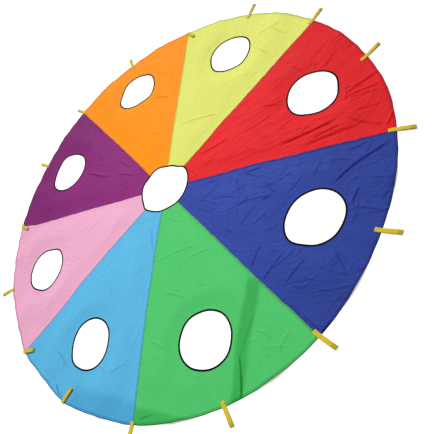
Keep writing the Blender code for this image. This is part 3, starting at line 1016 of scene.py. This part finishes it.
def ribbon(name, path, stand, lean, thickness, material):
    """A strap along a side path (outwards, up), given its width, thickness and soft edges."""
    deselect()
    rows = len(path)
    bpy.ops.mesh.primitive_grid_add(x_subdivisions=rows - 1, y_subdivisions=6, size=1, location=(0, 0, 0))
    strap = bpy.context.object
    strap.name = name
    mesh = strap.data
    grid = np.array([tuple(v.co) for v in mesh.vertices])
    row = np.round((grid[:, 0] + 0.5) * (rows - 1)).astype(int)
    across = grid[:, 1] * (STRAP_WIDTH - 0.0004)
    out, up = path[row].T
    sideways = across + math.tan(lean) * smooth((out + 0.004) / 0.012) * np.maximum(out, 0)
    placed = np.stack((out, up, sideways), axis=1) @ np.array(stand.to_3x3()).T + np.array(stand.translation)
    mesh.vertices.foreach_set("co", placed.astype(np.float32).ravel())
    set_uv(mesh, "strip", np.stack((run_of(path)[row], across), axis=1))
    # Painted shade inside the loop's round tip, where the webbing bends back
    set_level(mesh, "tip", smooth((out - LOOP_REACH + 0.024) / 0.016))
    mesh.update()
    apply_modifier(strap, "thickness", "SOLIDIFY", thickness=thickness, offset=0.0, use_even_offset=True)
    apply_modifier(
        strap, "edges", "BEVEL", width=0.0003, segments=1, limit_method="ANGLE", angle_limit=math.radians(60),
    )
    turn_out(strap)
    smooth_by_angle(strap, 50)
    set_material(mesh, material)
    return strap


def handle_stand(place, azimuth):
    """Stand a handle's side view at the rim: x outwards, y up, z clockwise."""
    outward = Vector((math.cos(azimuth), math.sin(azimuth), 0))
    upward = Vector((0, 0, 1))
    clockwise = outward.cross(upward)
    turn = Matrix((outward, upward, clockwise)).transposed().to_4x4()
    return Matrix.Translation(outward * CANOPY_RADIUS + clockwise * MM * SLIDES.get(place, 0)) @ turn


def handle_places():
    """Each handle's name and azimuth."""
    for index, name in enumerate(NAMES):
        yield name, -index * PANEL_ANGLE
        yield name + "_" + NAMES[(index + 1) % PANEL_COUNT], -index * PANEL_ANGLE - HALF_PANEL


def straight_points(number, extra=0.0):
    """Side view of a handle that lies straight out: up from one cut end, round, and back."""
    crown = np.random.default_rng(200 + number).uniform(0.0058, 0.0070)
    reach = LOOP_REACH - 0.0008 + extra
    return [
        (-SEWN_LENGTH, LOWER_PLY), (-0.014, LOWER_PLY), (0.012, LOWER_PLY), (0.029, LOWER_PLY - 0.0002),
        (0.041, 0.0014), (0.053, 0.00078), (0.070, 0.00075), (reach - 0.006, 0.00078),
        (reach - 0.0022, 0.0016), (reach - 0.0006, 0.0034), (reach - 0.0018, 0.0052),
        (reach - 0.0060, 0.0064), (0.074, crown + 0.0002), (0.058, crown), (0.044, crown - 0.0007),
        (0.032, UPPER_PLY + 0.0009), (0.020, UPPER_PLY + 0.0002), (0.008, UPPER_PLY), (-0.013, UPPER_PLY),
        (-SEWN_LENGTH + 0.002, UPPER_PLY),
    ]


def folded_over(stand, slant):
    """Turn a straight loop over, about its fold line."""
    line = Vector((math.sin(slant), 0, math.cos(slant)))
    lift = Matrix.Translation((0, HINGE_HEIGHT, 0))
    return stand @ lift @ Matrix.Rotation(math.pi, 4, line) @ lift.inverted()


def straight_handle(place, number, stand, look):
    """One strap from end to end."""
    path = strap_path(straight_points(number, 0.7 * MM * max(RIM[2 * number], 0)))
    strap = ribbon("strap_" + place, path, stand, math.radians(LEANS[place]), *look)
    start, end = (stand @ Vector((out, HINGE_HEIGHT, 0)) for out in (-BEND_REACH, BEND_REACH))
    "loop_" + place
    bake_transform(strap)
    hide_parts("handle_end_" + place, "handle_loop_" + place)


def folded_handle(place, number, stand, look):
    """A strap that lies folded over: its sewn end and its loop, joined by two round bends."""
    body = "loop_" + place
    middle = [point for point in straight_points(number) if point[0] > 0.005]
    path = strap_path([(0.0002, LOWER_PLY), *middle, (0.0002, UPPER_PLY)])
    loop = ribbon("strap_" + body, path, folded_over(stand, math.radians(FOLDED[place])), 0, *look)
    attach(loop, body)
    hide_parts("handle_loop_" + place)
    for ply, height, back in (("lower", LOWER_PLY, SEWN_LENGTH), ("upper", UPPER_PLY, SEWN_LENGTH - 0.002)):
        path = strap_path([(-back, height), (-back / 2, height), (-0.0002, height)])
        sewn = ribbon("strap_end_" + ply + "_" + place, path, stand, 0, *look)
        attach(sewn, "canopy")
        if ply == "lower":
            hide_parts("handle_end_" + place)
        reach = HINGE_HEIGHT - height
        path = polar(reach, np.linspace(-math.pi / 2, math.pi / 2, 13)) + (0, HINGE_HEIGHT)
        bend = ribbon("strap_bend_" + ply + "_" + place, path, stand, 0, *look)
        start, end = (stand @ Vector((0, HINGE_HEIGHT + rise, 0)) for rise in (-reach, reach))
        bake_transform(bend)


# Stitches


def one_stitch():
    """A short arched thread along +X, 1 long and 1 thick, with its ends in the cloth."""
    deselect()
    bpy.ops.mesh.primitive_cylinder_add(
        vertices=5, radius=0.5, depth=1, end_fill_type="NOTHING", rotation=(0, math.pi / 2, 0),
    )
    bit = bpy.context.object
    bpy.ops.object.transform_apply(location=False, rotation=True, scale=False)
    bpy.ops.object.mode_set(mode="EDIT")
    for cut in (-0.25, 0.25):
        bpy.ops.mesh.select_all(action="SELECT")
        bpy.ops.mesh.bisect(plane_co=(cut, 0, 0), plane_no=(1, 0, 0))
    bpy.ops.mesh.select_all(action="SELECT")
    bpy.ops.mesh.quads_convert_to_tris()
    bpy.ops.object.mode_set(mode="OBJECT")
    mesh = bit.data
    verts = np.array([tuple(v.co) for v in mesh.vertices])
    faces = np.array([tuple(face.vertices) for face in mesh.polygons])
    bpy.data.objects.remove(bit, do_unlink=True)
    bpy.data.meshes.remove(mesh)
    verts[:, 2] -= (np.abs(verts[:, 0]) > 0.4) * 0.8
    return verts, faces


def sew(name, rows, stitch, thickness, material, slot):
    """Copies of one stitch, which fit between the starts and the ends of rows of stitches."""
    starts, ends = (np.concatenate(points) for points in zip(*rows))
    run = ends - starts
    along = run / np.linalg.norm(run, axis=1, keepdims=True)
    aside = np.cross((0, 0, 1), along)
    aside /= np.linalg.norm(aside, axis=1, keepdims=True)
    axes = (run, aside * thickness, np.cross(along, aside) * thickness)
    verts, faces = stitch
    placed = (starts + ends)[:, None] / 2
    for number, axis in enumerate(axes):
        placed = placed + verts[None, :, number:number + 1] * axis[:, None]
    every = faces[None] + (np.arange(len(starts)) * len(verts))[:, None, None]
    mesh = bpy.data.meshes.new(name)
    mesh.from_pydata(placed.reshape(-1, 3).tolist(), [], every.reshape(-1, 3).tolist())
    mesh.shade_smooth()
    piece = add_piece(name, mesh, material)
    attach(piece, "canopy")


def stitch_ends(line, pitch, gap=0.16):
    """Where the stitches along a line of points begin and end."""
    total = run_of(line)[-1]
    count = int(total / pitch)
    return [points_at(line, (np.arange(count) + share) * total / count) for share in (gap, 1 - gap)]


def cloth_row(line, index, rise, pitch):
    """A row of stitches along a flat line on a panel."""
    return [lie(points, index)[0] + (0, 0, rise) for points in stitch_ends(line, pitch)]


def handle_rows(stand):
    """A box of stitches with a cross in it."""
    near, far, half = -0.004, -SEWN_LENGTH + 0.0045, STRAP_WIDTH / 2 - 0.003
    corners = np.array([(near, -half), (near, half), (far, half), (far, -half)])
    top = UPPER_PLY + 0.00065
    return [
        [[stand @ Vector((out, top, aside)) for out, aside in points]
         for points in stitch_ends(corners[[first, last]], HANDLE_PITCH, 0.14)]
        for first, last in ((0, 1), (1, 2), (2, 3), (3, 0), (0, 2), (1, 3))
    ]


# Operators


class PARACHUTE_OT_panels(bpy.types.Operator):
    """Lay the eight cloth panels"""

    bl_idname = "parachute.panels"
    bl_label = "Cloth panels"

    def execute(self, context):
        settings = context.scene.parachute_panels
        for index, name in enumerate(NAMES):
            colour = tuple(getattr(context.scene.parachute_colours, name))
            material = taffeta("taffeta_" + name, colour, index, settings.roughness)
            piece = add_piece("panel_cloth_" + name, panel_sheet(index, settings.grain), material)
            apply_modifier(piece, "thickness", "SOLIDIFY", thickness=settings.thickness, offset=0.0)
            smooth_by_angle(piece, 42)
            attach(piece, "canopy")
            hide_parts("panel_" + name)
            "fabric_" + name
        return {"FINISHED"}


class PARACHUTE_OT_bindings(bpy.types.Operator):
    """Bind the holes and the vent with tape"""

    bl_idname = "parachute.bindings"
    bl_label = "Bindings"

    def execute(self, context):
        trim = context.scene.parachute_trim
        black = woven_tape("binding_tape_black", tuple(trim.tape_colour))
        rings = [
            ("hole_tape_" + name, "hole_binding_" + name, HOLE_RADIUS, 160, index)
            for index, name in enumerate(NAMES)
        ]
        rings.append(("vent_tape", "vent_binding", VENT_RADIUS, 176, None))
        for name, node, radius, steps, index in rings:
            ring = spun_ring(name, radius, steps, trim)
            lay_ring(ring, radius, index)
            set_material(ring.data, black)
            smooth_by_angle(ring, 50)
            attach(ring, "canopy")
            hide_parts(node)
        return {"FINISHED"}


class PARACHUTE_OT_handles(bpy.types.Operator):
    """Make the sixteen webbing handles"""

    bl_idname = "parachute.handles"
    bl_label = "Handles"

    def execute(self, context):
        trim = context.scene.parachute_trim
        look = (trim.webbing_thickness, webbing("webbing_golden", tuple(trim.webbing_colour)))
        for number, (place, azimuth) in enumerate(handle_places()):
            make = folded_handle if place in FOLDED else straight_handle
            make(place, number, handle_stand(place, azimuth), look)
        return {"FINISHED"}


class PARACHUTE_OT_stitches(bpy.types.Operator):
    """Sew the hem, the seams, the bindings and the handles"""

    bl_idname = "parachute.stitches"
    bl_label = "Stitches"

    def execute(self, context):
        scene = context.scene
        stitch = one_stitch()
        on_cloth = scene.parachute_panels.thickness / 2 + 0.0001
        on_tape = BINDING_HEIGHT - FABRIC_MIDDLE
        black = thread("thread_black", (0.02, 0.02, 0.022))
        golden = thread("thread_golden", (0.70, 0.52, 0.05))
        for index, name in enumerate(NAMES):
            end = HALF_PANEL - 0.002
            lines = [(arc(0, HEM_RADIUS + 0.0025, -end, end, LINE_STEP), HEM_RISE)]
            for side in (-1, 1):
                felled = side in PANELS[index][2]
                for inset in (SEAM_STITCHES, FELL_WIDTH - 0.002) if felled else (SEAM_STITCHES,):
                    line = seam_line(inset, side, LINE_STEP, VENT_RADIUS + 0.028, CANOPY_RADIUS - 0.034)
                    lines.append((line, FELL_RISE if felled else 0))
            pitch = scene.parachute_trim.stitch_pitch
            rows = [cloth_row(line, index, on_cloth + rise, pitch) for line, rise in lines]
            tinted = thread("thread_" + name, tuple(0.72 * c for c in getattr(scene.parachute_colours, name)))
            sew("stitches_" + name, rows, stitch, THREAD_WIDTH, tinted, "fabric_" + name)
            ring = arc(HOLE_PLACE, HOLE_RADIUS + TAPE_STITCHES, 0, 2 * math.pi, LINE_STEP)
            rows = [cloth_row(ring, index, on_tape, TAPE_PITCH)]
            sew("hole_tape_stitches_" + name, rows, stitch, THREAD_WIDTH, black, "binding")
        ring = arc(0, VENT_RADIUS + TAPE_STITCHES, -HALF_PANEL, HALF_PANEL, LINE_STEP)
        rows = [cloth_row(ring, index, on_tape, TAPE_PITCH) for index in range(PANEL_COUNT)]
        sew("vent_tape_stitches", rows, stitch, THREAD_WIDTH, black, "binding")
        for place, azimuth in handle_places():
            rows = handle_rows(handle_stand(place, azimuth))
            sew("handle_stitches_" + place, rows, stitch, HANDLE_THREAD_WIDTH, golden, "webbing")
        return {"FINISHED"}


class PARACHUTE_OT_stage(bpy.types.Operator):
    """Set up the floor, the lamps and the camera"""

    bl_idname = "parachute.stage"
    bl_label = "Stage"

    def execute(self, context):
        settings = context.scene.parachute_stage
        scene = context.scene
        deselect()
        bpy.ops.mesh.primitive_plane_add(size=60, location=(0, 0, 0))
        floor = bpy.context.object
        floor.name = "floor"
        floor.data.materials.append(self.floor_material())

        bpy.ops.object.light_add(type="SUN", location=(0, 0, 5))
        key = bpy.context.object
        key.name = "key"
        level = math.cos(settings.key_rise)
        turn = settings.key_turn
        toward = Vector((level * math.cos(turn), level * math.sin(turn), math.sin(settings.key_rise)))
        key.rotation_euler = toward.to_track_quat("Z", "Y").to_euler()
        key.data.energy = settings.key_strength
        key.data.angle = math.radians(4)
        self.make_world(scene, settings.sky_strength)

        view = bpy.data.cameras.new("camera")
        view.lens = settings.lens
        view.sensor_width = 36
        camera = bpy.data.objects.new("camera", view)
        scene.collection.objects.link(camera)
        axes = Matrix(CAMERA_AXES).transposed().to_4x4()
        camera.matrix_world = Matrix.Translation(CAMERA_PLACE) @ axes
        scene.camera = camera
        scene.view_settings.view_transform = "Standard"
        return {"FINISHED"}

    def floor_material(self):
        """White, and a little brighter to the camera, so that shadows stay faint."""
        paint = Paint("floor_white", 0.9)
        paint.tree.nodes.remove(paint.shader)
        rays = paint.outputs(paint.node("ShaderNodeLightPath"))
        seen = rays["Is Camera Ray"] + rays["Is Glossy Ray"] + rays["Is Transmission Ray"]
        diffuse = paint.node("ShaderNodeBsdfDiffuse", None, {"Color": (0.9, 0.9, 0.9, 1)})
        glow = paint.node("ShaderNodeEmission", None, {"Color": WHITE, "Strength": seen * 0.38})
        both = paint.node("ShaderNodeAddShader", None, {0: diffuse, 1: glow})
        paint.put(paint.tree.nodes["Material Output"].inputs["Surface"], both)
        return paint.material

    def make_world(self, scene, strength):
        """White to the camera, and a soft light from all round to everything else."""
        world = bpy.data.worlds.new("sky")
        scene.world = world
        world.use_nodes = True
        nodes = Nodes(world.node_tree)
        nodes.tree.nodes.clear()
        light, pale = (
            nodes.node("ShaderNodeBackground", None, {"Color": WHITE, "Strength": level})
            for level in (strength, 1.0)
        )
        seen = nodes.node("ShaderNodeLightPath")
        mixed = nodes.node("ShaderNodeMixShader", None, {0: seen, 1: light, 2: pale})
        nodes.put(nodes.tree.nodes.new("ShaderNodeOutputWorld").inputs["Surface"], mixed)


class PARACHUTE_PT_panel(bpy.types.Panel):
    """Sizes, colours and steps of the parachute"""

    bl_label = "Play Parachute"
    bl_idname = "PARACHUTE_PT_panel"
    bl_space_type = "VIEW_3D"
    bl_region_type = "UI"
    bl_category = "Parachute"

    def draw(self, context):
        layout = self.layout
        for settings in SETTINGS:
            store = getattr(context.scene, settings)
            box = layout.box()
            for name in store.bl_rna.properties.keys():
                if name not in ("rna_type", "name"):
                    box.prop(store, name)
        for operator in OPERATORS:
            layout.operator(operator.bl_idname)


OPERATORS = (
    PARACHUTE_OT_panels, PARACHUTE_OT_bindings, PARACHUTE_OT_handles, PARACHUTE_OT_stitches,
    PARACHUTE_OT_stage,
)
SETTINGS = {
    "parachute_panels": PanelSettings, "parachute_colours": ColourSettings,
    "parachute_trim": TrimSettings, "parachute_stage": StageSettings,
}
CLASSES = (*SETTINGS.values(), *OPERATORS, PARACHUTE_PT_panel)


def register():
    for item in CLASSES:
        bpy.utils.register_class(item)
    for name, group in SETTINGS.items():
        setattr(bpy.types.Scene, name, PointerProperty(type=group))


def unregister():
    for name in SETTINGS:
        delattr(bpy.types.Scene, name)
    for item in reversed(CLASSES):
        bpy.utils.unregister_class(item)


def main():
    register()
    bpy.ops.parachute.panels()
    bpy.ops.parachute.bindings()
    bpy.ops.parachute.handles()
    bpy.ops.parachute.stitches()
    bpy.ops.parachute.stage()


if __name__ == "__main__":
    main()
